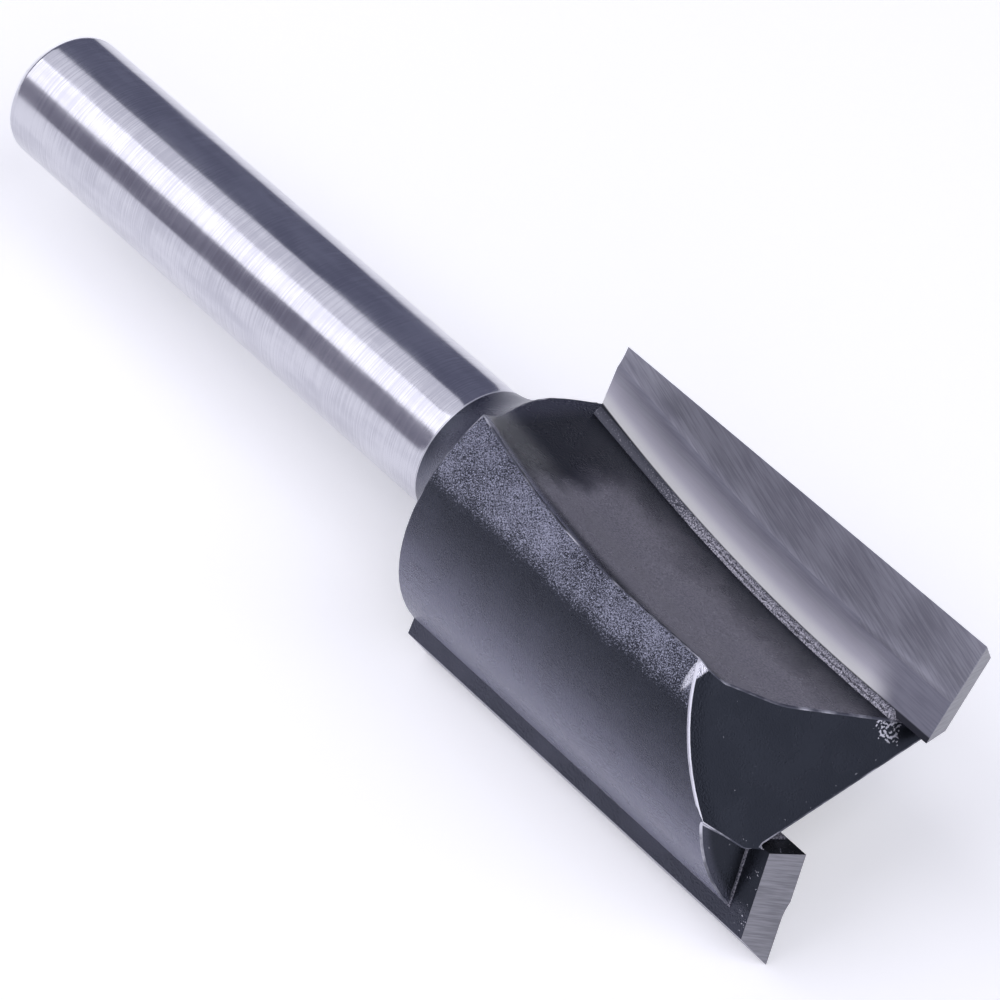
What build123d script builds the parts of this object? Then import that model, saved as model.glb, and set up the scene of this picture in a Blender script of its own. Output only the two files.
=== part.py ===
from build123d import *
from math import asin, atan2, cos, degrees, pi, radians, sin, sqrt, tan
import os

# Straight two-flute router bit: a ground steel shank, a milled and painted steel
# head, and two carbide tips brazed into the seats of the flutes.
#
# Part frame, in millimetres: the origin is at the centre of the shank's free end,
# +X runs along the tool's axis to the cutting end, and +Z is up while the bit lies
# on a bench, on the cutting edge of tip 2 and the heel corner of wing 1.
#
# Tip frame, one for each wing: the origin is at the outer end of the cutting edge,
# s runs inwards along the rake face, h stands out of the rake face into the open
# flute, and z runs along the axis from the cutting end to the shank.

# ---- driving dimensions -----------------------------------------------------

# turned blank
SHANK_DIAMETER = 8.0
SHANK_LENGTH = 38.3           # free end to the start of the neck
SHANK_CHAMFER = 1.0           # at 45 degrees round the free end
SHANK_CHAMFER_BLEND = 0.6     # radius that softens both edges of the chamfer
NECK_RADIUS = 5.2             # hollow arc from the shank up to the shoulder
HEAD_DIAMETER = 17.4          # across the lands behind the tips
CUTTING_DIAMETER = 20.0
CUTTING_LENGTH = 28.0

# carbide tips
TIP_THICKNESS = 2.0
TIP_HOOK_ANGLE = 18.3         # rake face against the radius of the cutting edge
TIP_SIDE_CLEARANCE = 18.2     # flank against the cutting circle
TIP_END_DISH = 6.7            # end edge, rising towards the centre
TIP_END_CLEARANCE = 16.0      # end face, rising behind the end edge
TIP_PROJECTION = 1.3          # how far a tip stands out of the steel at the end
TIP_RAW_MARGIN = 0.7          # strip left unground along the inner edge of the rake
TIP_GRIND_DEPTH = 0.2         # how far the rake is ground below that strip
TIP_GRIND_RADIUS = 3.2        # hollow left by the wheel along the strip

# braze
BRAZE_GAP = 0.1               # layer behind the tip and along its inner edge
BEAD_WIDTH = 0.42
BEAD_HEIGHT = 0.36
BEAD_SWELL = 0.05             # how far its face bulges

# flutes, milled by disc cutters that leave a curved run-out
FLUTE_DEPTH = 6.6             # floor, measured inwards along the rake face
FLUTE_FLOOR_LEAN = 0.5        # floor against the normal of the rake face
FLUTE_SIDE_HEIGHT = 6.4       # rake face to the foot of the side
FLUTE_SIDE_LEAN = 12.0        # side against the normal of the rake face
FLUTE_SIDE_BLEND = 7.0        # radius between the floor and the side
DISC_CUTTER_RADIUS = 97.0
RUN_OUT_START = 5.7           # where the floor begins to rise, from the cutting end
RUN_OUT_END = 22.0            # where its arc ends and it climbs on straight
HEEL_ANGLE = 77.3             # cutting edge to heel, round the axis
HEEL_BANK_WIDTH = 0.9         # bank of steel up to the heel
HEEL_BANK_LEAN = 48.0         # against the normal of the rake face
HEEL_FOOT_LEAN = 20.0         # of the foot of the bank
HEEL_BANK_BLEND = 3.6         # radius between the bank and its foot
HEEL_CUTTER_RADIUS = 42.0     # of the smaller disc that cuts the bank
HEEL_RUN_OUT_START = 12.5
HEEL_RUN_OUT_END = 23.0
CUTTER_OVERRUN = 3.0          # travel of a cutter past the steel that it cuts

# gashes that open the centre of the cutting end
GASH_HEIGHT_ON_AXIS = 1.85
GASH_SLOPE = 41.3             # against the plane of the cutting end
GASH_DIRECTION = 46.0         # way it rises, ahead of the cutting edge's radius

# pocket of the end relief, behind each tip
RELIEF_NOSE_WIDTH = 6.4       # inwards to the nose of steel that bounds the pocket
RELIEF_NOSE_DEPTH = 3.1       # of that nose, behind the rake face
RELIEF_FRONT_SLANT = 12.0     # wall beside the tip, against the rake's normal
RELIEF_REAR_SLANT = 23.0      # wall that runs out at the land
RELIEF_NOSE_BLEND = 0.8

HEEL_STEPS = 40               # rounds in which the place of the heel settles

# ---- sizes that follow ------------------------------------------------------

shank_radius = SHANK_DIAMETER / 2
head_radius = HEAD_DIAMETER / 2
cutting_radius = CUTTING_DIAMETER / 2
neck_rise = head_radius - shank_radius
neck_length = sqrt(NECK_RADIUS**2 - (NECK_RADIUS - neck_rise) ** 2)
head_start = SHANK_LENGTH + neck_length
overall_length = head_start + CUTTING_LENGTH
seat_height = -TIP_THICKNESS - BRAZE_GAP        # seat of the tip, in the tip frame
clear = cutting_radius + CUTTER_OVERRUN         # reach of a cutter past the blank
far = 4 * clear                                 # reach of a cut that is a whole plane

# the tool's axis in the tip frame
axis_s = cutting_radius * cos(radians(TIP_HOOK_ANGLE))
axis_h = cutting_radius * sin(radians(TIP_HOOK_ANGLE))

# the heel and the foot of its bank, in the tip frame
edge_direction = atan2(-axis_h, -axis_s)
heel_direction = edge_direction - radians(HEEL_ANGLE)
heel_s = axis_s + head_radius * cos(heel_direction)
heel_h = axis_h + head_radius * sin(heel_direction)
foot_s = heel_s + HEEL_BANK_WIDTH * sin(radians(HEEL_BANK_LEAN))
foot_h = heel_h - HEEL_BANK_WIDTH * cos(radians(HEEL_BANK_LEAN))


def flute_floor(h):
    """Depth of the straight stretch of a flute's floor and side at height h."""
    depth = FLUTE_DEPTH - tan(radians(FLUTE_FLOOR_LEAN)) * h
    over_side = max(0.0, h - FLUTE_SIDE_HEIGHT)
    return depth - (tan(radians(FLUTE_SIDE_LEAN)) - tan(radians(FLUTE_FLOOR_LEAN))) * over_side


def heel_bank(h):
    """Depth of the straight stretch of the heel's bank and its foot at height h."""
    lean = HEEL_BANK_LEAN if h > foot_h else HEEL_FOOT_LEAN
    return foot_s - tan(radians(lean)) * (h - foot_h)


# Paths of the two cutters: depth of the cut, radius of the disc, and the start and
# the end of its arc, from the cutting end.
FLOOR_PATH = (FLUTE_DEPTH, DISC_CUTTER_RADIUS, RUN_OUT_START, RUN_OUT_END)
HEEL_PATH = (heel_s, HEEL_CUTTER_RADIUS, HEEL_RUN_OUT_START, HEEL_RUN_OUT_END)


def risen(first_depth, z, path):
    """Depth at z of a milled surface that is first_depth deep before it rises."""
    depth, radius, start, end = path
    sweep = asin((end - start) / radius)
    reach = first_depth - (depth - radius)
    along = min(max(0.0, z - start), reach * sin(sweep))
    beyond = max(0.0, z - start - along)
    return depth - radius + sqrt(reach**2 - along**2) - tan(sweep) * beyond


def flute_at(h, z):
    """Depth of a flute at height h, at a distance z from the cutting end."""
    return min(risen(flute_floor(h), z, FLOOR_PATH), risen(heel_bank(h), z, HEEL_PATH))


def heel_at(z):
    """Angle about the axis from a cutting edge to the heel across its flute."""
    h = heel_h
    for _ in range(HEEL_STEPS):
        h = axis_h + sqrt(head_radius**2 - (axis_s - flute_at(h, z)) ** 2)
    return (edge_direction - atan2(h - axis_h, flute_at(h, z) - axis_s)) % (2 * pi)


# The bit lies on a cutting edge and on the opposite heel corner, at the shoulder.
heel_turn = heel_at(CUTTING_LENGTH)
support_turn = degrees(atan2(cutting_radius / head_radius - cos(heel_turn), sin(heel_turn)))
edge_angle = 90 - support_turn                  # of cutting edge 1, from +Y towards +Z


def tip_frame(number):
    """The tip frame of wing 1 or 2, as a plane whose normal is z."""
    edge = edge_angle + 180 * (number - 1)
    rake = edge + TIP_HOOK_ANGLE
    edge_y = cutting_radius * cos(radians(edge))
    edge_z = cutting_radius * sin(radians(edge))
    return Plane(
        origin=(overall_length, edge_y, edge_z),
        x_dir=(0, -cos(radians(rake)), -sin(radians(rake))),
        z_dir=(-1, 0, 0),
    )


def polygon(*points):
    """A face of straight sides in the plane of s and h."""
    return make_face(Polyline(*points, close=True))


def blend(face, corner, radius):
    """The face with one of its corners rounded."""
    return fillet(face.vertices().sort_by_distance((*corner, 0))[0], radius)


def disc_cut(profile, path=FLOOR_PATH):
    """A profile of s and h, run along the flute, up the arc of its disc and straight on."""
    depth, radius, start, end = path
    sweep = asin((end - start) / radius)
    straight = extrude(Pos(0, 0, -CUTTER_OVERRUN) * profile, amount=CUTTER_OVERRUN + start, dir=(0, 0, 1))
    pivot = Axis((depth - radius, 0, start), (0, -1, 0))
    rising = Pos(0, 0, start) * profile
    arc = revolve(rising, axis=pivot, revolution_arc=degrees(sweep))
    climb = extrude(rising.rotate(pivot, degrees(sweep)), amount=far, dir=(-sin(sweep), 0, cos(sweep)))
    return straight + arc + climb


def above(point, s_slope, h_slope):
    """All that lies nearer the cutting end than a plane through a point."""
    plane = Plane(origin=point, x_dir=(1, 0, s_slope), z_dir=(-s_slope, -h_slope, 1))
    return extrude(plane * Rectangle(2 * far, 2 * far), amount=-far)


# ---- the cutters, in the tip frame ------------------------------------------


def flute_cutter():
    """The flute with the seat of its tip, short of the bank that is left at the heel."""
    outside_h = axis_h + clear
    floor_and_side = polygon(
        (-clear, seat_height),
        (flute_floor(seat_height), seat_height),
        (flute_floor(FLUTE_SIDE_HEIGHT), FLUTE_SIDE_HEIGHT),
        (flute_floor(outside_h), outside_h),
        (-clear, outside_h),
    )
    foot_and_bank = polygon(
        (-clear, seat_height),
        (heel_bank(seat_height), seat_height),
        (foot_s, foot_h),
        (heel_bank(outside_h), outside_h),
        (-clear, outside_h),
    )
    side_corner = (flute_floor(FLUTE_SIDE_HEIGHT), FLUTE_SIDE_HEIGHT)
    floor_and_side = blend(floor_and_side, side_corner, FLUTE_SIDE_BLEND)
    foot_and_bank = blend(foot_and_bank, (foot_s, foot_h), HEEL_BANK_BLEND)
    return disc_cut(floor_and_side) & disc_cut(foot_and_bank, HEEL_PATH)


def gash_cutter():
    """The plane gash in front of a tip, kept clear of the tip and its seat."""
    slope = tan(radians(GASH_SLOPE))
    turn = radians(GASH_DIRECTION - TIP_HOOK_ANGLE)
    space = above((axis_s, axis_h, GASH_HEIGHT_ON_AXIS), -slope * cos(turn), slope * sin(turn))
    seat = Pos(FLUTE_DEPTH - 2 * clear, -2 * clear, 0) * Box(4 * clear, 4 * clear, 2 * clear)
    return space - seat


def end_cutter(rise):
    """The space beyond the end face of a tip, or of the steel a rise behind it."""
    return above((0, 0, rise), tan(radians(TIP_END_DISH)), -tan(radians(TIP_END_CLEARANCE)))


def relief_cutter():
    """The pocket that relieves the steel behind a tip at the cutting end."""
    nose = (RELIEF_NOSE_WIDTH, -RELIEF_NOSE_DEPTH)
    front = nose[0] + tan(radians(RELIEF_FRONT_SLANT)) * (clear - nose[1])
    rear = nose[0] + tan(radians(RELIEF_REAR_SLANT)) * (2 * clear + nose[1])
    outline = polygon(
        (-2 * clear, clear),
        (front, clear),
        nose,
        (rear, -2 * clear),
        (-2 * clear, -2 * clear),
    )
    outline = blend(outline, nose, RELIEF_NOSE_BLEND)
    return end_cutter(TIP_PROJECTION) & extrude(outline, amount=clear, both=True, dir=(0, 0, 1))


# ---- the pieces -------------------------------------------------------------


def turned_blank():
    """Shank, hollow neck and head in one turned piece."""
    outline = polygon(
        (0, 0),
        (0, shank_radius - SHANK_CHAMFER),
        (SHANK_CHAMFER, shank_radius),
        (SHANK_LENGTH, shank_radius),
        (SHANK_LENGTH, 0),
    )
    for corner in ((0, shank_radius - SHANK_CHAMFER), (SHANK_CHAMFER, shank_radius)):
        outline = blend(outline, corner, SHANK_CHAMFER_BLEND)
    rim = (SHANK_LENGTH, shank_radius)
    shoulder = (head_start, head_radius)
    hollow = RadiusArc(rim, shoulder, -NECK_RADIUS)
    sides = Polyline(shoulder, (overall_length, head_radius), (overall_length, 0), (SHANK_LENGTH, 0), rim)
    head = make_face([hollow, sides])
    return revolve(outline + head, axis=Axis.X)


def end_cuts(number):
    """The gash and the end relief beside one tip, in the part frame."""
    place = Location(tip_frame(number))
    return [place * gash_cutter(), place * relief_cutter()]


def steel_body():
    """The steel of the bit, with both flutes, gashes and end reliefs."""
    body = turned_blank()
    for number in (1, 2):
        body -= Location(tip_frame(number)) * flute_cutter()
        for cut in end_cuts(number):
            body -= cut
    return body


def carbide_tip():
    """A tip in its own frame, ground on its rake, flank and end face."""
    flank = TIP_THICKNESS * tan(radians(TIP_HOOK_ANGLE + TIP_SIDE_CLEARANCE))
    section = polygon(
        (0, TIP_GRIND_DEPTH),
        (0, 0),
        (flank, -TIP_THICKNESS),
        (FLUTE_DEPTH, -TIP_THICKNESS),
        (FLUTE_DEPTH, TIP_GRIND_DEPTH),
    )
    blank = extrude(section, amount=CUTTING_LENGTH, dir=(0, 0, 1))
    inner = flute_floor(0) - BRAZE_GAP
    blank &= disc_cut(polygon((-clear, -clear), (inner, -clear), (inner, clear), (-clear, clear)))
    margin = inner - TIP_RAW_MARGIN
    wheel = polygon((-clear, 0), (margin, 0), (margin, clear), (-clear, clear))
    blank -= disc_cut(blend(wheel, (margin, 0), TIP_GRIND_RADIUS))
    return blank - end_cutter(0)


def braze_seam(number):
    """The braze under and beside a tip, with the bead in the corner of the flute."""
    inner = flute_floor(0) - BRAZE_GAP
    base = flute_floor(seat_height)
    top = TIP_GRIND_DEPTH
    layer = polygon(
        (-clear, seat_height),
        (base, seat_height),
        (flute_floor(top), top),
        (inner, top),
        (inner, -TIP_THICKNESS),
        (-clear, -TIP_THICKNESS),
    )
    crest = top + BEAD_HEIGHT
    toe = flute_floor(top) - BEAD_WIDTH
    swell = SagittaArc((toe, top), (flute_floor(crest), crest), BEAD_SWELL)
    sides = Polyline((flute_floor(crest), crest), (flute_floor(top), top), (toe, top))
    bead = make_face([swell, sides])
    seam = disc_cut(layer) + disc_cut(bead)
    seam &= Location(tip_frame(number)).inverse() * turned_blank()
    seam &= Pos(0, 0, CUTTING_LENGTH / 2) * Box(4 * clear, 4 * clear, CUTTING_LENGTH)
    seam = Location(tip_frame(number)) * seam
    for cut in end_cuts(number) + end_cuts(3 - number):
        seam -= cut
    return seam


pieces = {"body": steel_body()}
for tip_number in (1, 2):
    pieces[f"carbide_tip_{tip_number}"] = Location(tip_frame(tip_number)) * carbide_tip()
    pieces[f"braze_seam_{tip_number}"] = braze_seam(tip_number)

os.makedirs("parts", exist_ok=True)
for name, piece in pieces.items():
    export_step(piece, f"parts/{name}.step")
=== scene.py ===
import bpy
import math
from mathutils import Matrix, Quaternion, Vector


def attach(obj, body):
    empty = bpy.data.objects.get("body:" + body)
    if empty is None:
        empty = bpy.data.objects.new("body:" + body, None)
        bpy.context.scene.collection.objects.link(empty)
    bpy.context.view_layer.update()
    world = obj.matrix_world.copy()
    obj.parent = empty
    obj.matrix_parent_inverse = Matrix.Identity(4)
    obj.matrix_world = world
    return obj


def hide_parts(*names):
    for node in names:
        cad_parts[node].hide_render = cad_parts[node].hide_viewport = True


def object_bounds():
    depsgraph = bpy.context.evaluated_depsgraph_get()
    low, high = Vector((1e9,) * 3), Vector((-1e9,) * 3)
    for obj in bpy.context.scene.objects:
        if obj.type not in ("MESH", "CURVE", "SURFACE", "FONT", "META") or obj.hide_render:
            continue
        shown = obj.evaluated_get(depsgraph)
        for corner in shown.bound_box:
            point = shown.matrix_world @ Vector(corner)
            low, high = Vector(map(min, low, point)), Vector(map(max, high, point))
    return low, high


# Straight two-flute router bit. The CAD nodes give its shape. This script gives it its
# finish: a ground steel shank, a head of milled steel in satin blue-black enamel that
# is worn bare along its edges, ground carbide tips, and the lumpy bead of silver braze
# that runs beside each tip.
#
# Tip frame, one for each wing, as a toolmaker would hold it: s runs inwards along the
# rake face from the cutting edge, h stands out of the rake face, and z runs from the
# cutting end to the shank. Sizes are in millimetres.

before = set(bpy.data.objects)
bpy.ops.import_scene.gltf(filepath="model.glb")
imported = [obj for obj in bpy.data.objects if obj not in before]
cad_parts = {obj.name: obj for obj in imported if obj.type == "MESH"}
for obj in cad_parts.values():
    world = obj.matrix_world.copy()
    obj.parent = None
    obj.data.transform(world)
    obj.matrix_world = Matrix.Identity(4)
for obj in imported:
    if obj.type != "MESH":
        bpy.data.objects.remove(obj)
cad_low, cad_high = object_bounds()

MM = 0.001

# ---- sizes ------------------------------------------------------------------

CUTTING_RADIUS = 10.0
EDGE_ANGLE = 51.91            # cutting edge of tip 1, from +Y towards +Z
HOOK_ANGLE = 18.3             # rake face against the radius of the cutting edge
FLUTE_DEPTH = 6.6             # inner edge of the rake face, where the bead lies
FLOOR_CUTTER_RADIUS = 97.0
RUN_OUT_START = 5.7
RUN_OUT_END = 22.0
CUTTING_LENGTH = 28.0

PAINT_EDGE = 39.08            # where the enamel stops on the neck
RIM_WIDTH = 0.12              # ring of bare steel at the enamel's edge, coloured as a painted highlight of that edge
BODY_EDGE_WIDTH = 0.10        # softened edges of the painted steel
TIP_EDGE_WIDTH = 0.03         # honed edges of the carbide
EDGE_SEGMENTS = 2
SHARP_ANGLE = 24              # degrees between faces that meet in an edge

BEAD_START = 3.6              # from the cutting end
BEAD_RADIUS = 0.26
BEAD_PLACE = (6.42, 0.22)     # s and h of its middle
BEAD_SIDES = 14
BEAD_STEP = 0.06
BEAD_THIN_FROM = 16.0         # it thins from here to the shoulder
BEAD_THIN_BY = 0.13
BEAD_LUMP = 0.16              # height of the lumps
BEAD_LUMP_SIZE = 0.55
BEAD_PITTING = 0.07           # depth of the pits
BEAD_PIT_SIZE = 0.16

AXIS_PLACE = (9.494, 3.139)   # s and h of the bit's axis
HEEL_TURN = 77.3              # heel of a flute, round from the cutting edge before it
HEEL_CORNER_X = 63.35         # where heel, gash and land meet

BARE_CORNER_ROUND = 0.6       # middle of the bare patch at that corner, round from the heel
BARE_CORNER_HALF_WIDTH = 0.30     # along the axis
BARE_CORNER_HALF_LENGTH = 1.3     # round the land
SPLASH_PLACE = (7.1, 0.6, 3.1)    # s, h and z of the spat flux
SPLASH_FULL = 0.5             # it is thick to this distance from there
SPLASH_REACH = 1.3            # and stops here
PATCH_RAGGED = 3.0            # how far the pale patch's border wanders
ENAMEL_METALLIC = 0.92        # the thin film lets the steel's gloss through
FLOOR_LIFT = 0.30             # emission of the floor where it is seen or mirrored

# ---- camera -----------------------------------------------------------------

CAMERA_TARGET = Vector((42.234, -0.725, -0.564)) * MM
CAMERA_DISTANCE = 265.2 * MM
CAMERA_AZIMUTH = 46.783
CAMERA_ELEVATION = 41.324
CAMERA_ROLL = 6.323
CAMERA_LENS = 177.88


def linear(code):
    """An sRGB hex colour as the linear values that a shader takes."""
    parts = [int(code[i : i + 2], 16) / 255 for i in (1, 3, 5)]
    return [c / 12.92 if c <= 0.04045 else ((c + 0.055) / 1.055) ** 2.4 for c in parts] + [1.0]


def tip_axes(number):
    """The directions of s, h and z of wing 1 or 2."""
    rake = math.radians(EDGE_ANGLE + 180 * (number - 1) + HOOK_ANGLE)
    s_axis = Vector((0, -math.cos(rake), -math.sin(rake)))
    h_axis = Vector((0, -math.sin(rake), math.cos(rake)))
    return s_axis, h_axis, Vector((-1, 0, 0))


def tip_point(number, s, h, z):
    """A point of the tip frame of wing 1 or 2, in metres."""
    edge = math.radians(EDGE_ANGLE + 180 * (number - 1))
    corner = Vector((0, math.cos(edge), math.sin(edge))) * CUTTING_RADIUS * MM
    corner.x = cad_high.x
    s_axis, h_axis, z_axis = tip_axes(number)
    return corner + (s_axis * s + h_axis * h + z_axis * z) * MM


# ---- finishes ---------------------------------------------------------------

# Patterns whose real size is too fine to show, in mm. Each is drawn as coarse as it needs to
# show, and its real size follows.
GRINDING_RING = 0.09          # rings left round the shank by the grinding wheel: 0.01 to 0.02
WHEEL_SCRATCH = 0.10          # scratches of a diamond wheel on the carbide: 0.01 to 0.03
ENAMEL_GRAIN = 0.10           # grain of the sprayed enamel: 0.02 to 0.04
SPARKLE_GRAIN = 0.075          # crests of that grain, coloured pale as a painted sparkle highlight: 0.02 to 0.04
BRAZE_PIT = 0.08              # pits in the frozen braze: 0.03 to 0.05
RIM_MARK = 0.09               # turning marks on the bare rim: 0.02

# Kinds of node with their settings, as add_node takes them.
PLACE = ("ShaderNodeTexCoord", {})
LAY = ("ShaderNodeMapping", {"vector_type": "TEXTURE"})
NOISE = ("ShaderNodeTexNoise", {})
ADD = ("ShaderNodeMath", {"operation": "ADD"})
SUBTRACT = ("ShaderNodeMath", {"operation": "SUBTRACT"})
MULTIPLY = ("ShaderNodeMath", {"operation": "MULTIPLY"})
DIVIDE = ("ShaderNodeMath", {"operation": "DIVIDE"})
LARGER = ("ShaderNodeMath", {"operation": "MAXIMUM"})
SIZE_OF = ("ShaderNodeMath", {"operation": "ABSOLUTE"})
SIDE_OF = ("ShaderNodeMath", {"operation": "SIGN"})
ALONG = ("ShaderNodeVectorMath", {"operation": "DOT_PRODUCT"})
ACROSS = ("ShaderNodeVectorMath", {"operation": "MULTIPLY"})
LENGTH = ("ShaderNodeVectorMath", {"operation": "LENGTH"})
RANGE = ("ShaderNodeMapRange", {"interpolation_type": "SMOOTHSTEP"})
BLEND = ("ShaderNodeMix", {"data_type": "RGBA"})
BUMP = ("ShaderNodeBump", {})
FACING = ("ShaderNodeLayerWeight", {})
LIGHT_PATH = ("ShaderNodeLightPath", {})
SEPARATE = ("ShaderNodeSeparateXYZ", {})

# Sockets of a Mix node that carry a colour: its two inputs and its output.
FIRST, SECOND, BLENDED = 6, 7, 2


def new_material(name):
    """An empty material with its output and its main shader."""
    material = bpy.data.materials.new(name)
    material.use_nodes = True
    tree = material.node_tree
    tree.nodes.clear()
    output = tree.nodes.new("ShaderNodeOutputMaterial")
    shader = tree.nodes.new("ShaderNodeBsdfPrincipled")
    tree.links.new(shader.outputs["BSDF"], output.inputs["Surface"])
    return material, shader


def set_inputs(material, node, inputs):
    """Gives sockets their values or the outputs that they read, by name or else in order."""
    pairs = inputs.items() if isinstance(inputs, dict) else enumerate(inputs)
    for key, value in pairs:
        if isinstance(value, bpy.types.NodeSocket):
            material.node_tree.links.new(value, node.inputs[key])
        else:
            node.inputs[key].default_value = value


def add_node(material, kind, settings, inputs, output=0):
    """Adds a node with its settings and links, and gives one of its outputs."""
    node = material.node_tree.nodes.new(kind)
    for key, value in settings.items():
        setattr(node, key, value)
    set_inputs(material, node, inputs)
    return node.outputs[output]


def uneven_marks(material, sizes, turn=(0, 0, 0), detail=2.0):
    """Marks of these sizes in mm along their own turned axes, from 0 to 1 in height."""
    place = add_node(material, *PLACE, {}, "Object")
    scale = [size * MM for size in sizes]
    laid = add_node(material, *LAY, {"Vector": place, "Rotation": turn, "Scale": scale})
    return add_node(material, *NOISE, {"Vector": laid, "Scale": 1.0, "Detail": detail}, "Fac")


def tip_coordinate(material, which):
    """s, h or z in mm as a shader value. It holds for both wings, which are half a turn apart."""
    place = add_node(material, *PLACE, {}, "Object")
    s_axis, h_axis, z_axis = tip_axes(1)
    if which == "z":
        along_z = add_node(material, *ALONG, (place, z_axis / MM), "Value")
        return add_node(material, *ADD, (cad_high.x / MM, along_z))
    along_s = add_node(material, *ALONG, (place, s_axis / MM), "Value")
    if which == "s":
        beside_axis = add_node(material, *SIZE_OF, (along_s,))
        return add_node(material, *SUBTRACT, (AXIS_PLACE[0], beside_axis))
    wing = add_node(material, *SIDE_OF, (along_s,))
    along_h = add_node(material, *ALONG, (place, h_axis / MM), "Value")
    below_axis = add_node(material, *MULTIPLY, (wing, along_h))
    return add_node(material, *SUBTRACT, (AXIS_PLACE[1], below_axis))


def near_splash(material):
    """1 where flux spat beside the inner end of the bead, and 0 away from there."""
    total = 0.0
    for which, middle in zip("shz", SPLASH_PLACE):
        offset = add_node(material, *SUBTRACT, (tip_coordinate(material, which), middle))
        square = add_node(material, *MULTIPLY, (offset, offset))
        total = add_node(material, *ADD, (square, total))
    return add_node(material, *RANGE, (total, SPLASH_FULL**2, SPLASH_REACH**2, 1.0, 0.0))


def from_axis(material):
    """Distance in mm from the bit's axis."""
    place = add_node(material, *PLACE, {}, "Object")
    across = add_node(material, *ACROSS, (place, (0.0, 1 / MM, 1 / MM)))
    return add_node(material, *LENGTH, (across,), "Value")


def from_bead(material):
    """Distance in mm across the rake face, from the bead's line towards the cutting edge."""
    z = tip_coordinate(material, "z")
    s = tip_coordinate(material, "s")
    run = add_node(material, *LARGER, (add_node(material, *SUBTRACT, (z, RUN_OUT_START)), 0.0))
    square = add_node(material, *MULTIPLY, (run, run))
    rise = add_node(material, *DIVIDE, (square, 2 * FLOOR_CUTTER_RADIUS))
    bead = add_node(material, *SUBTRACT, (FLUTE_DEPTH, rise))
    return add_node(material, *SUBTRACT, (bead, s))


def heel_place(material):
    """Outward distance and distance round from a heel, in mm, for both wings alike."""
    heel = math.radians(EDGE_ANGLE + HEEL_TURN)
    outward_axis = Vector((0, math.cos(heel), math.sin(heel)))
    around_axis = Vector((0, -math.sin(heel), math.cos(heel)))
    place = add_node(material, *PLACE, {}, "Object")
    outward = add_node(material, *ALONG, (place, outward_axis / MM), "Value")
    around = add_node(material, *ALONG, (place, around_axis / MM), "Value")
    wing = add_node(material, *SIDE_OF, (outward,))
    distance = add_node(material, *SIZE_OF, (outward,))
    return distance, add_node(material, *MULTIPLY, (wing, around))


def bare_heel_corner(material, ragged):
    """1 on the corner of heel, gash and land, where the steel is worn bare, and 0 elsewhere."""
    place = add_node(material, *PLACE, {}, "Object")
    x = add_node(material, *ALONG, (place, Vector((1, 0, 0)) / MM), "Value")
    outward, around = heel_place(material)
    squares = ragged
    for value, middle, half in (
        (x, HEEL_CORNER_X, BARE_CORNER_HALF_WIDTH),
        (around, BARE_CORNER_ROUND, BARE_CORNER_HALF_LENGTH),
    ):
        offset = add_node(material, *SUBTRACT, (value, middle))
        share = add_node(material, *DIVIDE, (offset, half))
        square = add_node(material, *MULTIPLY, (share, share))
        squares = add_node(material, *ADD, (squares, square))
    patch = add_node(material, *RANGE, (squares, 0.5, 1.1, 1.0, 0.0))
    on_land = add_node(material, *RANGE, (outward, 7.9, 8.2))
    return add_node(material, *MULTIPLY, (patch, on_land))


def pale_flute_patch(material, clouds):
    """1 on a pale patch of the flute's floor and side, and 0 elsewhere."""
    h = tip_coordinate(material, "h")
    z = tip_coordinate(material, "z")
    centred = add_node(material, *SUBTRACT, (clouds, 0.5))
    ragged = add_node(material, *MULTIPLY, (centred, PATCH_RAGGED))
    above_tip = add_node(material, *RANGE, (add_node(material, *ADD, (h, ragged)), 0.4, 4.8))
    below_heel = add_node(material, *RANGE, (h, 8.8, 10.2, 1.0, 0.0))
    along = add_node(material, *ADD, (z, ragged))
    before_shoulder = add_node(material, *RANGE, (along, 22.0, 24.5, 1.0, 0.0))
    beside = add_node(material, *MULTIPLY, (above_tip, below_heel))
    return add_node(material, *MULTIPLY, (beside, before_shoulder))


def ground_steel():
    """Centreless-ground tool steel: bright and slightly wavy, with marks round the shank."""
    material, shader = new_material("ground_steel")
    waves = uneven_marks(material, (2.6, 1.1, 1.1))
    rings = uneven_marks(material, (GRINDING_RING, 4.0, 4.0), detail=3.0)
    smears = uneven_marks(material, (5.0, 1.4, 1.4), detail=4.0)
    both = add_node(material, *ADD, (rings, smears))
    shade = add_node(material, *RANGE, (both, 0.75, 1.25))
    greys = {"Factor": shade, FIRST: linear("#b9b9c2"), SECOND: linear("#cfcfd6")}
    wavy = {"Height": waves, "Distance": 0.02 * MM, "Strength": 0.18}
    under = add_node(material, *BUMP, wavy, "Normal")
    ringed = {"Height": rings, "Distance": 0.002 * MM, "Strength": 0.10, "Normal": under}
    finish = {
        "Base Color": add_node(material, *BLEND, greys, BLENDED),
        "Roughness": add_node(material, *RANGE, (smears, 0.3, 0.7, 0.13, 0.22)),
        "Normal": add_node(material, *BUMP, ringed, "Normal"),
        "Metallic": 1.0,
    }
    set_inputs(material, shader, finish)
    return material


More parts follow.
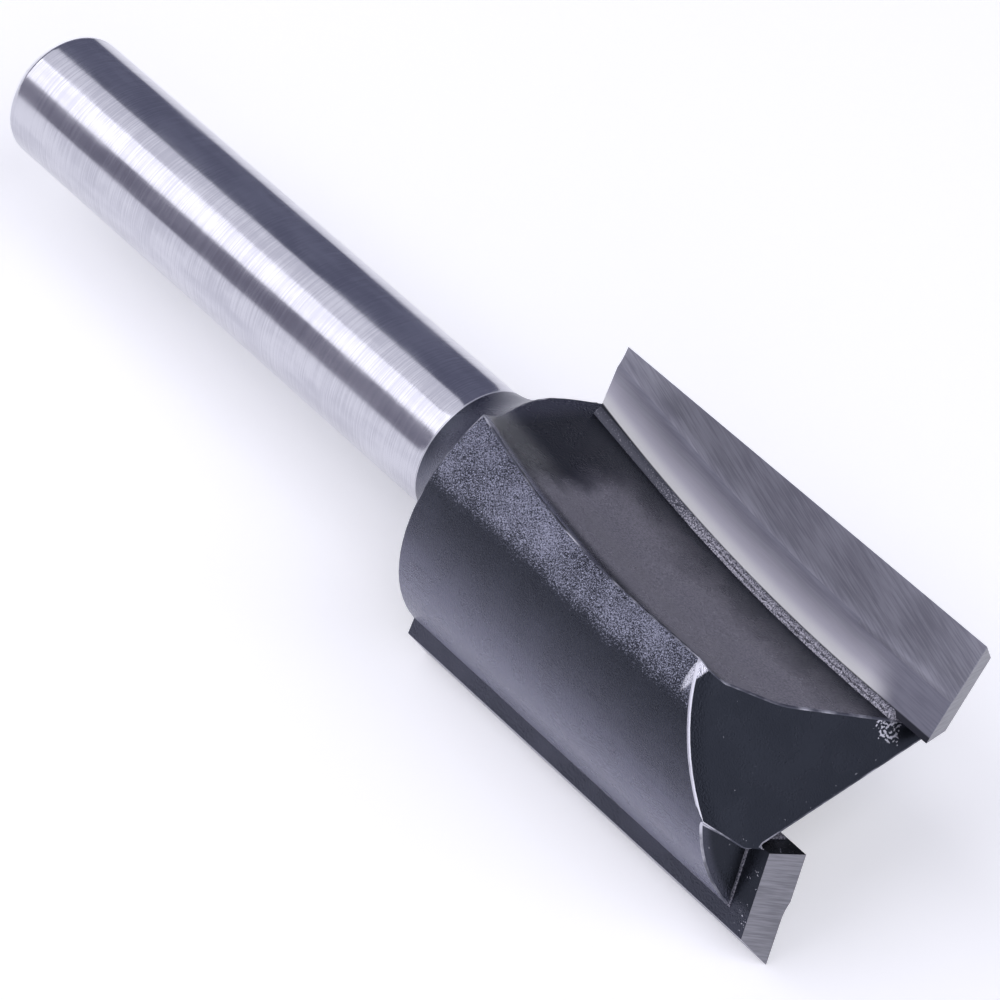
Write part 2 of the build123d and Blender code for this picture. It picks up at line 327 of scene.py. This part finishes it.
def enamel_coat(name, dark):
    """Stoved satin enamel on milled steel: blue-black, with a painted sheen that pales as it turns
    away.

    The sheen is painted: a paler base colour where the land and the neck are seen at a slant,
    standing in for their reflection.
    """
    material, shader = new_material(name)
    grain = uneven_marks(material, (ENAMEL_GRAIN, ENAMEL_GRAIN, ENAMEL_GRAIN))
    clouds = uneven_marks(material, (2.2, 2.2, 2.2), detail=5.0)
    # Painted sheen: the base colour pales by viewing angle on the land and the neck.
    away = add_node(material, *FACING, {"Blend": 0.5}, "Facing")
    drift = add_node(material, *MULTIPLY, (clouds, 0.10))
    turned = add_node(material, *RANGE, (add_node(material, *ADD, (away, drift)), 0.20, 0.68))
    land = add_node(material, *RANGE, (from_axis(material), 8.0, 8.5))
    neck = add_node(material, *RANGE, (tip_coordinate(material, "z"), 27.6, 29.0, 0.0, 0.45))
    where = add_node(material, *LARGER, (land, neck))
    sheen = add_node(material, *MULTIPLY, (where, turned))
    paling = {"Factor": sheen, FIRST: linear(dark), SECOND: linear("#7f8092")}
    return material, shader, add_node(material, *BLEND, paling, BLENDED), grain, clouds, land


def finish_enamel(material, shader, colour, grain, clouds, metallic, relief):
    """Gives the enamel its grain, its satin gloss and its bare heel corner."""
    ragged = add_node(material, *SUBTRACT, (grain, 0.5))
    bare = bare_heel_corner(material, ragged)
    worn = {"Factor": bare, FIRST: colour, SECOND: linear("#dcdce6")}
    strength = add_node(material, *RANGE, (from_axis(material), 7.6, 8.5, 0.25, 1.0))
    raised = {"Height": grain, "Distance": relief * MM, "Strength": strength}
    finish = {
        "Base Color": add_node(material, *BLEND, worn, BLENDED),
        "Roughness": add_node(material, *RANGE, (clouds, 0.3, 0.7, 0.24, 0.32)),
        "Normal": add_node(material, *BUMP, raised, "Normal"),
        "Metallic": metallic,
    }
    set_inputs(material, shader, finish)


def patched_enamel():
    """The enamel of head and neck, paler in a patch in the flutes, with painted sparkle on its
    grain.

    The patch is paler and less metallic. The painted sparkle is a highlight coloured on the
    grain's crests beside the heels.
    """
    coat = enamel_coat("satin_black_enamel", "#33363f")
    material, shader, enamel, grain, clouds, land = coat
    pale_patch = pale_flute_patch(material, clouds)
    patch_grain = add_node(material, *RANGE, (grain, 0.3, 0.7))
    greys = {"Factor": patch_grain, FIRST: linear("#66656d"), SECOND: linear("#898790")}
    patch_colour = add_node(material, *BLEND, greys, BLENDED)
    patched = {"Factor": pale_patch, FIRST: enamel, SECOND: patch_colour}
    enamel = add_node(material, *BLEND, patched, BLENDED)
    # Painted highlight: beside the heels the grain's crests are coloured pale, as the lamps'
    # sparkle in grainy enamel.
    outward, _ = heel_place(material)
    by_heel = add_node(material, *RANGE, (outward, 7.95, 8.62, 0.0, 0.52))
    sparkle_band = add_node(material, *MULTIPLY, (land, by_heel))
    drift = add_node(material, *MULTIPLY, (clouds, 0.30))
    patchy = add_node(material, *ADD, (sparkle_band, drift))
    sparkle_marks = uneven_marks(material, (SPARKLE_GRAIN, SPARKLE_GRAIN, SPARKLE_GRAIN), detail=3.0)
    sparkle_crests = add_node(material, *RANGE, (add_node(material, *ADD, (sparkle_marks, patchy)), 1.03, 1.34))
    brightened = {"Factor": sparkle_crests, FIRST: enamel, SECOND: linear("#aaacbf")}
    enamel = add_node(material, *BLEND, brightened, BLENDED)
    metallic = add_node(material, *RANGE, (pale_patch, 0.0, 1.0, ENAMEL_METALLIC, 0.35))
    finish_enamel(material, shader, enamel, grain, clouds, metallic, 0.16)
    return material


def chipped_enamel():
    """The enamel on faces that look to the cutting end: darker as painted shade, and chipped to
    the steel.
    """
    coat = enamel_coat("chipped_black_enamel", "#2a2d35")
    material, shader, enamel, grain, clouds, _ = coat
    flecks = uneven_marks(material, (0.16, 0.16, 0.16))
    drifting_z = add_node(material, *ADD, (tip_coordinate(material, "z"), clouds))
    near_end = add_node(material, *RANGE, (drifting_z, 0.8, 3.6, 0.12, 0.0))
    splash = add_node(material, *MULTIPLY, (near_splash(material), 0.26))
    marks = add_node(material, *LARGER, (near_end, splash))
    chips = add_node(material, *RANGE, (add_node(material, *ADD, (flecks, marks)), 0.77, 0.81))
    chipped = {"Factor": chips, FIRST: enamel, SECOND: linear("#b4b4be")}
    enamel = add_node(material, *BLEND, chipped, BLENDED)
    finish_enamel(material, shader, enamel, grain, clouds, ENAMEL_METALLIC, 0.04)
    return material


def worn_edge():
    """The same enamel on an edge. Round the gash on the land it is worn through to steel."""
    material, shader = new_material("worn_enamel_edge")
    chips = uneven_marks(material, (1.1, 1.1, 1.1), detail=4.0)
    z = tip_coordinate(material, "z")
    land = add_node(material, *RANGE, (from_axis(material), 8.2, 8.5))
    near_gash = add_node(material, *RANGE, (z, 7.8, 9.4, 0.42, 0.0))
    above_relief = add_node(material, *RANGE, (z, 2.9, 4.4))
    exposed = add_node(material, *MULTIPLY, (land, near_gash))
    brightened = add_node(material, *MULTIPLY, (exposed, above_relief))
    bare = add_node(material, *RANGE, (add_node(material, *ADD, (chips, brightened)), 0.42, 0.86))
    worn = {"Factor": bare, FIRST: linear("#4d4f5b"), SECOND: linear("#d2d2dc")}
    colour = add_node(material, *BLEND, worn, BLENDED)
    set_inputs(material, shader, {"Base Color": colour, "Metallic": 0.5, "Roughness": 0.34})
    return material


def rim_highlight():
    """A line of bare steel beside the enamel, coloured paler than the shank: a painted highlight
    of the enamel's edge, seen as a thin bright ring.
    """
    material, shader = new_material("rim_painted_highlight")
    marks = uneven_marks(material, (RIM_MARK, 2.0, 2.0), detail=3.0)
    shade = add_node(material, *RANGE, (marks, 0.3, 0.7))
    greys = {"Factor": shade, FIRST: linear("#a9a9b3"), SECOND: linear("#dcdce4")}
    colour = add_node(material, *BLEND, greys, BLENDED)
    set_inputs(material, shader, {"Base Color": colour, "Metallic": 0.6, "Roughness": 0.3})
    return material


def carbide(name, turn, dark, light, metallic=0.5):
    """Sintered tungsten carbide with the fine marks of a diamond wheel, across one turned axis."""
    material, shader = new_material(name)
    scratches = uneven_marks(material, (1.8, WHEEL_SCRATCH, 1.8), turn, 3.0)
    patches = uneven_marks(material, (2.5, 2.5, 2.5))
    faint = add_node(material, *MULTIPLY, (patches, 0.5))
    shade = add_node(material, *RANGE, (add_node(material, *ADD, (scratches, faint)), 0.5, 1.0))
    greys = {"Factor": shade, FIRST: linear(dark), SECOND: linear(light)}
    scored = {"Height": scratches, "Distance": 0.008 * MM, "Strength": 0.6}
    finish = {
        "Roughness": add_node(material, *RANGE, (patches, 0.3, 0.7, 0.34, 0.44)),
        "Normal": add_node(material, *BUMP, scored, "Normal"),
        "Metallic": metallic,
    }
    set_inputs(material, shader, finish)
    return material, shader, add_node(material, *BLEND, greys, BLENDED)


def ground_carbide():
    """The ground rake face: dull grey, with the wheel's slanting scratches."""
    turn = (math.radians(EDGE_ANGLE + HOOK_ANGLE), math.radians(20), 0.0)
    material, shader, colour = carbide("ground_carbide", turn, "#8e8e99", "#aaaab5")
    set_inputs(material, shader, {"Base Color": colour})
    return material


def end_carbide():
    """The ground end faces: warmer and darker, scratched across their width."""
    turn = (math.radians(65), 0.0, 0.0)
    material, shader, colour = carbide("end_ground_carbide", turn, "#717178", "#8f8f96")
    set_inputs(material, shader, {"Base Color": colour})
    return material


def pressed_carbide():
    """The rake face as pressed: smooth, silver-bright beside the bead and dark at its foot.

    The brightness is a colour by the distance from the bead. It stands for braze that has wet the
    face, and is painted light for the light that the hollow between face and bead gathers.
    """
    turn = (math.radians(EDGE_ANGLE + HOOK_ANGLE), math.radians(4), 0.0)
    material, shader, colour = carbide("pressed_carbide", turn, "#7e7e8b", "#8e8e9b", 0.1)
    distance = from_bead(material)
    along = add_node(material, *RANGE, (tip_coordinate(material, "z"), 3.4, 6.0))
    # Two bright bands beside the bead: braze on the face, and a painted highlight of the hollow.
    for low, high, bright in ((0.4, 3.2, "#e8e5f0"), (0.6, 1.5, "#ffffff")):
        band = add_node(material, *RANGE, (distance, low, high, 1.0, 0.0))
        share = add_node(material, *MULTIPLY, (along, band))
        braze_and_highlight = {"Factor": share, FIRST: colour, SECOND: linear(bright)}
        colour = add_node(material, *BLEND, braze_and_highlight, BLENDED)
    seam = add_node(material, *RANGE, (distance, 0.44, 0.54, 1.0, 0.0))
    foot = {"Factor": seam, FIRST: colour, SECOND: linear("#33343d")}
    set_inputs(material, shader, {"Base Color": add_node(material, *BLEND, foot, BLENDED)})
    return material


def silver_braze():
    """Silver solder as it froze: grey and rough, lost under the enamel at the shoulder."""
    material, shader = new_material("silver_braze")
    specks = uneven_marks(material, (BRAZE_PIT, BRAZE_PIT, BRAZE_PIT))
    covered = add_node(material, *RANGE, (tip_coordinate(material, "z"), 18.0, 24.0, 0.0, 0.22))
    bare = add_node(material, *SUBTRACT, (specks, covered))
    bright = add_node(material, *RANGE, (bare, 0.36, 0.64))
    greys = {"Factor": bright, FIRST: linear("#474852"), SECOND: linear("#aba9b4")}
    pitted = {"Height": specks, "Distance": 0.02 * MM, "Strength": 0.5}
    finish = {
        "Base Color": add_node(material, *BLEND, greys, BLENDED),
        "Normal": add_node(material, *BUMP, pitted, "Normal"),
        "Metallic": 0.6,
        "Roughness": 0.40,
    }
    set_inputs(material, shader, finish)
    return material


def white_card():
    """The floor: matt card, lifted to white where it is seen or mirrored, its shadow kept."""
    material, shader = new_material("white_card")
    seen = 0.0
    for ray in ("Is Camera Ray", "Is Glossy Ray", "Is Transmission Ray"):
        seen = add_node(material, *LARGER, (add_node(material, *LIGHT_PATH, {}, ray), seen))
    lift = add_node(material, *MULTIPLY, (seen, FLOOR_LIFT))
    finish = {
        "Emission Strength": lift,
        "Emission Color": linear("#ffffff"),
        "Base Color": linear("#f6f6f8"),
        "Roughness": 0.9,
    }
    set_inputs(material, shader, finish)
    return material


STEEL = ground_steel()
ENAMEL = patched_enamel()
SHADED_ENAMEL = chipped_enamel()
WORN = worn_edge()
RIM_HIGHLIGHT = rim_highlight()
GROUND = ground_carbide()
PRESSED = pressed_carbide()
END = end_carbide()
BRAZE = silver_braze()

# ---- pieces -----------------------------------------------------------------


# Places in the body's list of materials.
ON_SHANK, ON_ENAMEL, ON_EDGES, ON_RIM_HIGHLIGHT, ON_END = range(5)
# Places in a tip's list of materials.
ON_GROUND, ON_PRESSED, ON_TIP_END, ON_PAINTED = range(4)

FACES_ALONG = 0.8             # a face looks along a direction from this cosine up
LOOKS_TO_END = 0.5            # enamelled faces from this cosine up are chipped ones, darkened as painted shade
PRESSED_FROM = 0.15           # height above the ground rake where the pressed face begins


def select_only(piece):
    bpy.ops.object.select_all(action="DESELECT")
    piece.select_set(True)
    bpy.context.view_layer.objects.active = piece


def apply_modifier(piece, kind, settings):
    """Adds a modifier with its settings and makes it part of the mesh."""
    select_only(piece)
    modifier = piece.modifiers.new(kind.lower(), kind)
    for key, value in settings.items():
        setattr(modifier, key, value)
    bpy.ops.object.modifier_apply(modifier=modifier.name)


def merged_copy(node, name):
    """A copy of a CAD node, welded into one skin with whole faces."""
    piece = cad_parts[node].copy()
    piece.data = piece.data.copy()
    piece.name = name
    piece.parent = None
    for key in list(piece.keys()):
        del piece[key]
    bpy.context.scene.collection.objects.link(piece)
    select_only(piece)
    bpy.ops.mesh.customdata_custom_splitnormals_clear()
    bpy.ops.object.mode_set(mode="EDIT")
    bpy.ops.mesh.select_all(action="SELECT")
    bpy.ops.mesh.remove_doubles(threshold=0.0005 * MM)
    bpy.ops.mesh.dissolve_limited(angle_limit=math.radians(0.3))
    bpy.ops.object.mode_set(mode="OBJECT")
    piece.data.materials.clear()
    return piece


def soften_edges(piece, width, segments, strip_material=-1):
    """Rounds every edge. The rounded strips may take a material of their own."""
    apply_modifier(
        piece,
        "BEVEL",
        {
            "width": width * MM,
            "segments": segments,
            "limit_method": "ANGLE",
            "angle_limit": math.radians(SHARP_ANGLE),
            "miter_outer": "MITER_ARC",
            "use_clamp_overlap": False,
            "material": strip_material,
        },
    )


def finish_shading(piece):
    """Smooth round stretches, with the flat faces kept flat."""
    select_only(piece)
    bpy.ops.object.shade_smooth_by_angle(angle=math.radians(SHARP_ANGLE))
    apply_modifier(piece, "WEIGHTED_NORMAL", {"keep_sharp": True, "weight": 50})


def stand_for(piece, node):
    """The piece takes the place of a CAD node, with its finish."""
    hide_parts(node)
    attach(piece, "root")


def split_across(piece, x):
    """Cuts every face of the piece along a plane across the axis."""
    select_only(piece)
    bpy.ops.object.mode_set(mode="EDIT")
    bpy.ops.mesh.select_all(action="SELECT")
    bpy.ops.mesh.bisect(plane_co=(x * MM, 0, 0), plane_no=(1, 0, 0))
    bpy.ops.object.mode_set(mode="OBJECT")


def steel_body():
    """Bare ground shank, a bright rim with a painted highlight, and the enamelled neck and head.
    """
    piece = merged_copy("body", "steel_body")
    for material in (STEEL, ENAMEL, WORN, RIM_HIGHLIGHT, SHADED_ENAMEL):
        piece.data.materials.append(material)
    soften_edges(piece, BODY_EDGE_WIDTH, EDGE_SEGMENTS, strip_material=ON_EDGES)
    split_across(piece, PAINT_EDGE - RIM_WIDTH)
    split_across(piece, PAINT_EDGE)
    for face in piece.data.polygons:
        if face.center.x < (PAINT_EDGE - RIM_WIDTH) * MM:
            face.material_index = ON_SHANK
        elif face.center.x < PAINT_EDGE * MM:
            # The ring of bare steel is coloured as a painted highlight of the enamel's edge.
            face.material_index = ON_RIM_HIGHLIGHT
        elif face.material_index != ON_EDGES:
            # Faces that look to the cutting end take the enamel darkened as painted shade.
            to_end = face.normal.x > LOOKS_TO_END
            face.material_index = ON_END if to_end else ON_ENAMEL
    finish_shading(piece)
    stand_for(piece, "body")


def ground_tip(number):
    """Ground on the faces that cut, and enamelled on its back and inner side."""
    piece = merged_copy(f"carbide_tip_{number}", f"ground_tip_{number}")
    for material in (GROUND, PRESSED, END, SHADED_ENAMEL):
        piece.data.materials.append(material)
    soften_edges(piece, TIP_EDGE_WIDTH, EDGE_SEGMENTS)
    s_axis, h_axis, z_axis = tip_axes(number)
    origin = tip_point(number, 0, 0, 0)
    for face in piece.data.polygons:
        height = (face.center - origin).dot(h_axis) / MM
        on_back = face.normal.dot(h_axis) < -FACES_ALONG
        on_inner_side = face.normal.dot(s_axis) > FACES_ALONG
        # The back and inner side take the same enamel darkened as painted shade.
        if on_back or on_inner_side:
            face.material_index = ON_PAINTED
        elif face.normal.dot(z_axis) < -FACES_ALONG:
            face.material_index = ON_TIP_END
        elif height > PRESSED_FROM:
            face.material_index = ON_PRESSED
    finish_shading(piece)
    stand_for(piece, f"carbide_tip_{number}")


def braze_seam(number):
    """The thin layer of braze under and beside a tip."""
    piece = merged_copy(f"braze_seam_{number}", f"braze_layer_{number}")
    piece.data.materials.append(BRAZE)
    finish_shading(piece)
    stand_for(piece, f"braze_seam_{number}")


def braze_bead(number):
    """A round rod run along the foot of the flute's floor, then made lumpy."""
    s_axis, h_axis, z_axis = tip_axes(number)
    s, h = BEAD_PLACE
    bpy.ops.object.select_all(action="DESELECT")
    bpy.ops.mesh.primitive_circle_add(
        vertices=BEAD_SIDES,
        radius=BEAD_RADIUS * MM,
        fill_type="NGON",
        location=tip_point(number, s, h, BEAD_START),
        rotation=(0, math.radians(90), 0),
    )
    bead = bpy.context.object
    bead.name = f"braze_bead_{number}"
    bpy.ops.object.transform_apply(location=True, rotation=True, scale=True)
    bpy.ops.object.mode_set(mode="EDIT")
    bpy.ops.mesh.select_all(action="SELECT")
    straight_steps = round((RUN_OUT_START - BEAD_START) / BEAD_STEP)
    for _ in range(straight_steps):
        travel = z_axis * (RUN_OUT_START - BEAD_START) / straight_steps * MM
        bpy.ops.mesh.extrude_region_move(TRANSFORM_OT_translate={"value": travel})
    sweep = math.asin((RUN_OUT_END - RUN_OUT_START) / FLOOR_CUTTER_RADIUS)
    bpy.ops.mesh.spin(
        steps=round((RUN_OUT_END - RUN_OUT_START) / BEAD_STEP),
        angle=sweep,
        center=tip_point(number, FLUTE_DEPTH - FLOOR_CUTTER_RADIUS, h, RUN_OUT_START),
        axis=h_axis,
    )
    climb = (z_axis * math.cos(sweep) - s_axis * math.sin(sweep)) * MM
    rest = (CUTTING_LENGTH - RUN_OUT_END) / math.cos(sweep)
    climb_steps = round(rest / BEAD_STEP)
    for _ in range(climb_steps):
        travel = climb * rest / climb_steps
        bpy.ops.mesh.extrude_region_move(TRANSFORM_OT_translate={"value": travel})
    bpy.ops.mesh.select_all(action="SELECT")
    bpy.ops.mesh.remove_doubles(threshold=0.001 * MM)
    bpy.ops.mesh.normals_make_consistent(inside=False)
    bpy.ops.object.mode_set(mode="OBJECT")
    thinning = bead.vertex_groups.new(name="thinning")
    for vertex in bead.data.vertices:
        z = (cad_high.x - vertex.co.x) / MM
        share = (z - BEAD_THIN_FROM) / (CUTTING_LENGTH - BEAD_THIN_FROM)
        thinning.add([vertex.index], min(1.0, max(0.0, share)), "REPLACE")
    apply_modifier(
        bead,
        "DISPLACE",
        {"vertex_group": "thinning", "strength": -BEAD_THIN_BY * MM, "mid_level": 0.0},
    )
    for name, size, height in (
        ("lumps", BEAD_LUMP_SIZE, BEAD_LUMP),
        ("pitting", BEAD_PIT_SIZE, BEAD_PITTING),
    ):
        pattern = bpy.data.textures.new(f"{name}_{number}", "CLOUDS")
        pattern.noise_scale = size * MM
        pattern.noise_depth = 2
        uneven = {"texture": pattern, "strength": height * MM, "mid_level": 0.5}
        apply_modifier(bead, "DISPLACE", uneven)
    bead.data.materials.append(BRAZE)
    bpy.ops.object.shade_smooth()
    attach(bead, "root")


steel_body()
for tip_number in (1, 2):
    ground_tip(tip_number)
    braze_seam(tip_number)
    braze_bead(tip_number)

# ---- floor, lights and camera -----------------------------------------------

FLOOR_SIZE = 4.0
LAMP_TINT = (0.97, 0.965, 1.0)
MIRROR_ALONG = -0.547         # what the camera sees mirrored in a cylinder along X
MIRROR_ACROSS = 0.837
SENSOR_WIDTH = 36

bpy.ops.object.select_all(action="DESELECT")
bpy.ops.mesh.primitive_plane_add(size=FLOOR_SIZE, location=(0, 0, cad_low.z))
floor = bpy.context.object
floor.name = "floor"
floor.data.materials.append(white_card())


def studio_world():
    """A dim room: blue-grey on the far side and a warmer grey on the near one.

    A world's Generated output is the direction in which it is seen.
    """
    world = bpy.data.worlds.new("studio")
    bpy.context.scene.world = world
    world.use_nodes = True
    background = world.node_tree.nodes["Background"]
    direction = add_node(world, *PLACE, {}, "Generated")
    across = add_node(world, *SEPARATE, (direction,), "Y")
    side = add_node(world, *RANGE, (across, -0.7, 0.3))
    walls = {"Factor": side, FIRST: linear("#8b899a"), SECOND: linear("#6f7186")}
    set_inputs(world, background, {"Color": add_node(world, *BLEND, walls, BLENDED)})


def softbox(name, direction, distance, width, length, brightness):
    """A soft lamp on the target. Its brightness is that of the panel, where 1 is white."""
    direction = Vector(direction).normalized()
    lamp = bpy.data.lights.new(name, "AREA")
    lamp.shape = "RECTANGLE"
    lamp.size = length
    lamp.size_y = width
    lamp.energy = brightness * math.pi * length * width
    lamp.color = LAMP_TINT
    panel = bpy.data.objects.new(name, lamp)
    panel.location = CAMERA_TARGET + direction * distance
    x_axis = (Vector((1, 0, 0)) - direction * direction.x).normalized()
    axes = Matrix((x_axis, direction.cross(x_axis), direction)).transposed()
    panel.rotation_euler = axes.to_euler()
    panel.visible_camera = False
    bpy.context.scene.collection.objects.link(panel)


def mirrored_in_shank(turn):
    """The direction that the camera sees mirrored in the shank. turn is from +Y to +Z."""
    turn = math.radians(turn)
    return (MIRROR_ALONG, MIRROR_ACROSS * math.cos(turn), MIRROR_ACROSS * math.sin(turn))


studio_world()
softbox("key_panel", mirrored_in_shank(127), 0.6, 0.30, 0.9, 1.55)
softbox("top_panel", mirrored_in_shank(93), 0.6, 0.27, 0.9, 0.80)
softbox("fill_panel", (0.75, -0.15, 0.65), 0.9, 1.3, 0.9, 1.6)

lens = bpy.data.cameras.new("camera")
lens.lens = CAMERA_LENS
lens.sensor_width = SENSOR_WIDTH
lens.clip_start = 0.01
camera = bpy.data.objects.new("camera", lens)
bpy.context.scene.collection.objects.link(camera)
azimuth = math.radians(CAMERA_AZIMUTH)
elevation = math.radians(CAMERA_ELEVATION)
back = Vector(
    (
        math.sin(azimuth) * math.cos(elevation),
        -math.cos(azimuth) * math.cos(elevation),
        math.sin(elevation),
    )
)
camera.location = CAMERA_TARGET + back * CAMERA_DISTANCE
camera.rotation_mode = "QUATERNION"
roll = Quaternion((0, 0, 1), math.radians(CAMERA_ROLL))
camera.rotation_quaternion = (-back).to_track_quat("-Z", "Y") @ roll
bpy.context.scene.camera = camera

bpy.context.scene.view_settings.view_transform = "Standard"
